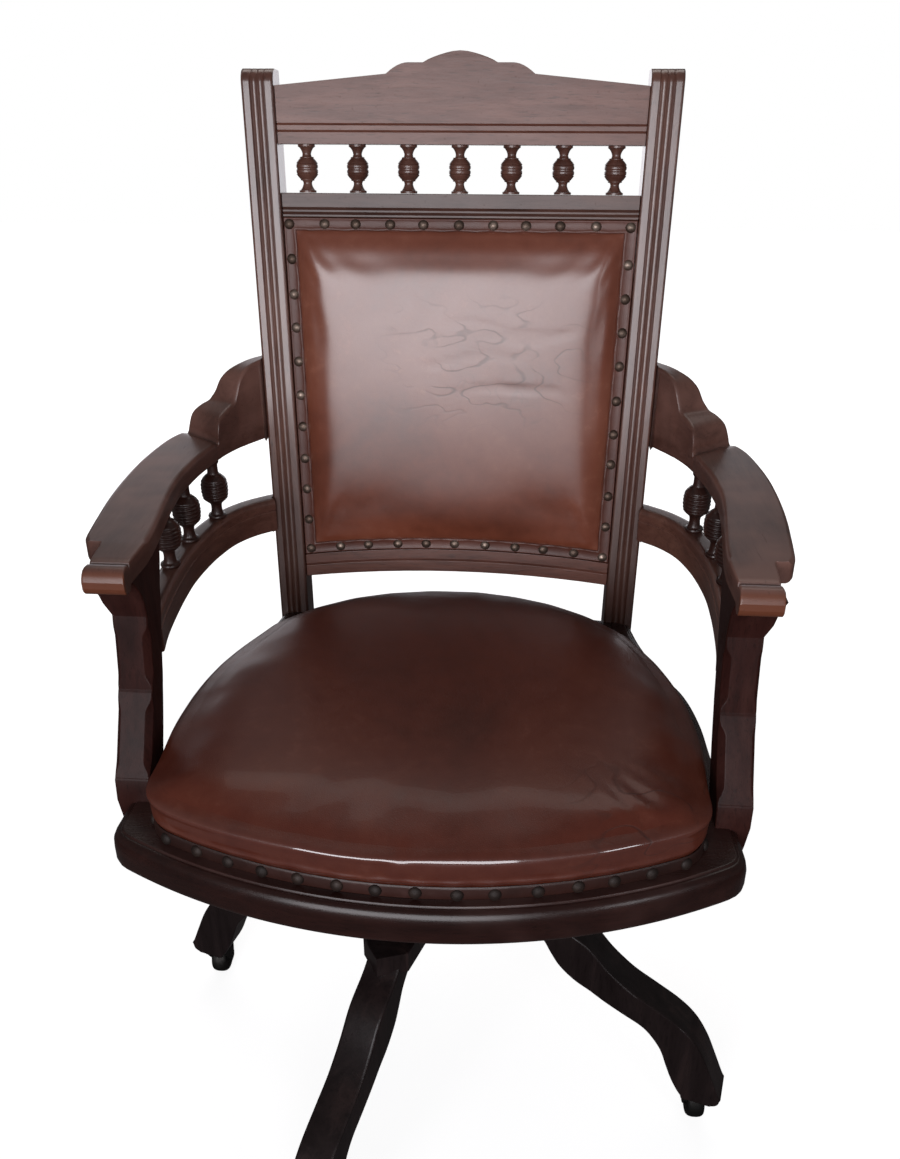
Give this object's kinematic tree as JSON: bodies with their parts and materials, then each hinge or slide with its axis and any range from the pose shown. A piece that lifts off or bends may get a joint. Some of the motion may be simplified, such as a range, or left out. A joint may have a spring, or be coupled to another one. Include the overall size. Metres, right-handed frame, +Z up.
{
  "type": "office swivel armchair",
  "caption": "Wooden swivel and tilt armchair with a nailed leather back and seat, turned spindles and sawn legs on castors.",
  "frame": {"origin": "on the floor, on the axis of the height screw", "axes": "+Z up, -Y the way the sitter faces, +X to the right as seen from the front, so right and left in node names are as seen from the front"},
  "size_m": [0.679, 0.7025, 1.1071],
  "materials": {
    "wood": "satin wax",
    "base_wood": "satin wax",
    "seat_leather": "glossy",
    "back_leather": "glossy",
    "iron": "worn black",
    "brass": "antique"
  },
  "bodies": {
    "base": {"base_hub": "base_wood", "hub_bush": "iron", "leg_front_right": "base_wood", "leg_back_right": "base_wood", "leg_back_left": "base_wood", "leg_front_left": "base_wood", "castor_cup_front_right": "brass", "castor_cup_back_right": "brass", "castor_cup_back_left": "brass", "castor_cup_front_left": "brass"},
    "hand_wheel": {"height_hand_wheel": "iron"},
    "screw": {"height_screw": "iron"},
    "tilt_iron": {"swivel_yoke": "iron", "tilt_pin": "iron", "tilt_spring": "iron"},
    "seat": {"seat_iron": "iron", "tension_bolt": "iron", "seat_frame": "wood", "seat_board": "wood", "seat_cushion": "seat_leather", "seat_band": "seat_leather", "back_post_right": "wood", "back_post_left": "wood", "crest_rail": "wood", "middle_rail": "wood", "lower_rail": "wood", "back_spindle_1": "wood", "back_spindle_2": "wood", "back_spindle_3": "wood", "back_spindle_4": "wood", "back_spindle_5": "wood", "back_spindle_6": "wood", "back_spindle_7": "wood", "back_pad": "back_leather", "back_band": "back_leather", "back_board": "wood", "outside_back": "back_leather", "arm_rest_right": "wood", "arm_post_right": "wood", "arm_rail_right": "wood", "arm_spindle_right_1": "wood", "arm_spindle_right_2": "wood", "arm_spindle_right_3": "wood", "arm_rest_left": "wood", "arm_post_left": "wood", "arm_rail_left": "wood", "arm_spindle_left_1": "wood", "arm_spindle_left_2": "wood", "arm_spindle_left_3": "wood"},
    "tension_knob": {"tension_knob": "iron"},
    "castor_front_right": {"castor_horn_front_right": "iron"},
    "wheel_front_right": {"castor_wheel_front_right": "iron"},
    "castor_back_right": {"castor_horn_back_right": "iron"},
    "wheel_back_right": {"castor_wheel_back_right": "iron"},
    "castor_back_left": {"castor_horn_back_left": "iron"},
    "wheel_back_left": {"castor_wheel_back_left": "iron"},
    "castor_front_left": {"castor_horn_front_left": "iron"},
    "wheel_front_left": {"castor_wheel_front_left": "iron"}
  },
  "joints": [
    {"name": "height_slide", "type": "slide", "parent": "base", "child": "screw", "axis": [0, 0, 1], "range_m": [0, 0.08]},
    {"name": "hand_wheel_turn", "type": "hinge", "parent": "base", "child": "hand_wheel", "pos_m": [0, 0, 0.353], "axis": [0, 0, 1], "range_deg": [-2880, 0]},
    {"name": "seat_swivel", "type": "hinge", "parent": "screw", "child": "tilt_iron", "pos_m": [0, 0, 0.38], "axis": [0, 0, 1], "continuous": true},
    {"name": "seat_tilt", "type": "hinge", "parent": "tilt_iron", "child": "seat", "pos_m": [0, -0.03, 0.412], "axis": [-1, 0, 0], "range_deg": [0, 14], "stiffness_Nm_per_rad": 60, "springref_deg": -22.92, "deforming": ["tilt_spring"]},
    {"name": "tension_knob_turn", "type": "hinge", "parent": "seat", "child": "tension_knob", "pos_m": [0, -0.105, 0.337], "axis": [0, 0, 1], "range_deg": [-720, 720]},
    {"name": "castor_swivel_front_right", "type": "hinge", "parent": "base", "child": "castor_front_right", "pos_m": [0.30262, -0.08563, 0.05], "axis": [0, 0, 1], "continuous": true},
    {"name": "wheel_roll_front_right", "type": "hinge", "parent": "castor_front_right", "child": "wheel_front_right", "pos_m": [0.30262, -0.07163, 0.022], "axis": [1, 0, 0], "continuous": true},
    {"name": "castor_swivel_back_right", "type": "hinge", "parent": "base", "child": "castor_back_right", "pos_m": [0.11271, 0.29361, 0.05], "axis": [0, 0, 1], "continuous": true},
    {"name": "wheel_roll_back_right", "type": "hinge", "parent": "castor_back_right", "child": "wheel_back_right", "pos_m": [0.11271, 0.30761, 0.022], "axis": [1, 0, 0], "continuous": true},
    {"name": "castor_swivel_back_left", "type": "hinge", "parent": "base", "child": "castor_back_left", "pos_m": [-0.30262, 0.08563, 0.05], "axis": [0, 0, 1], "continuous": true},
    {"name": "wheel_roll_back_left", "type": "hinge", "parent": "castor_back_left", "child": "wheel_back_left", "pos_m": [-0.30262, 0.09963, 0.022], "axis": [1, 0, 0], "continuous": true},
    {"name": "castor_swivel_front_left", "type": "hinge", "parent": "base", "child": "castor_front_left", "pos_m": [-0.10963, -0.29478, 0.05], "axis": [0, 0, 1], "continuous": true},
    {"name": "wheel_roll_front_left", "type": "hinge", "parent": "castor_front_left", "child": "wheel_front_left", "pos_m": [-0.10963, -0.28077, 0.022], "axis": [1, 0, 0], "continuous": true}
  ],
  "couplings": [
    {"joint": "hand_wheel_turn", "follows": "height_slide", "rad_per_m": -628.32}
  ]
}
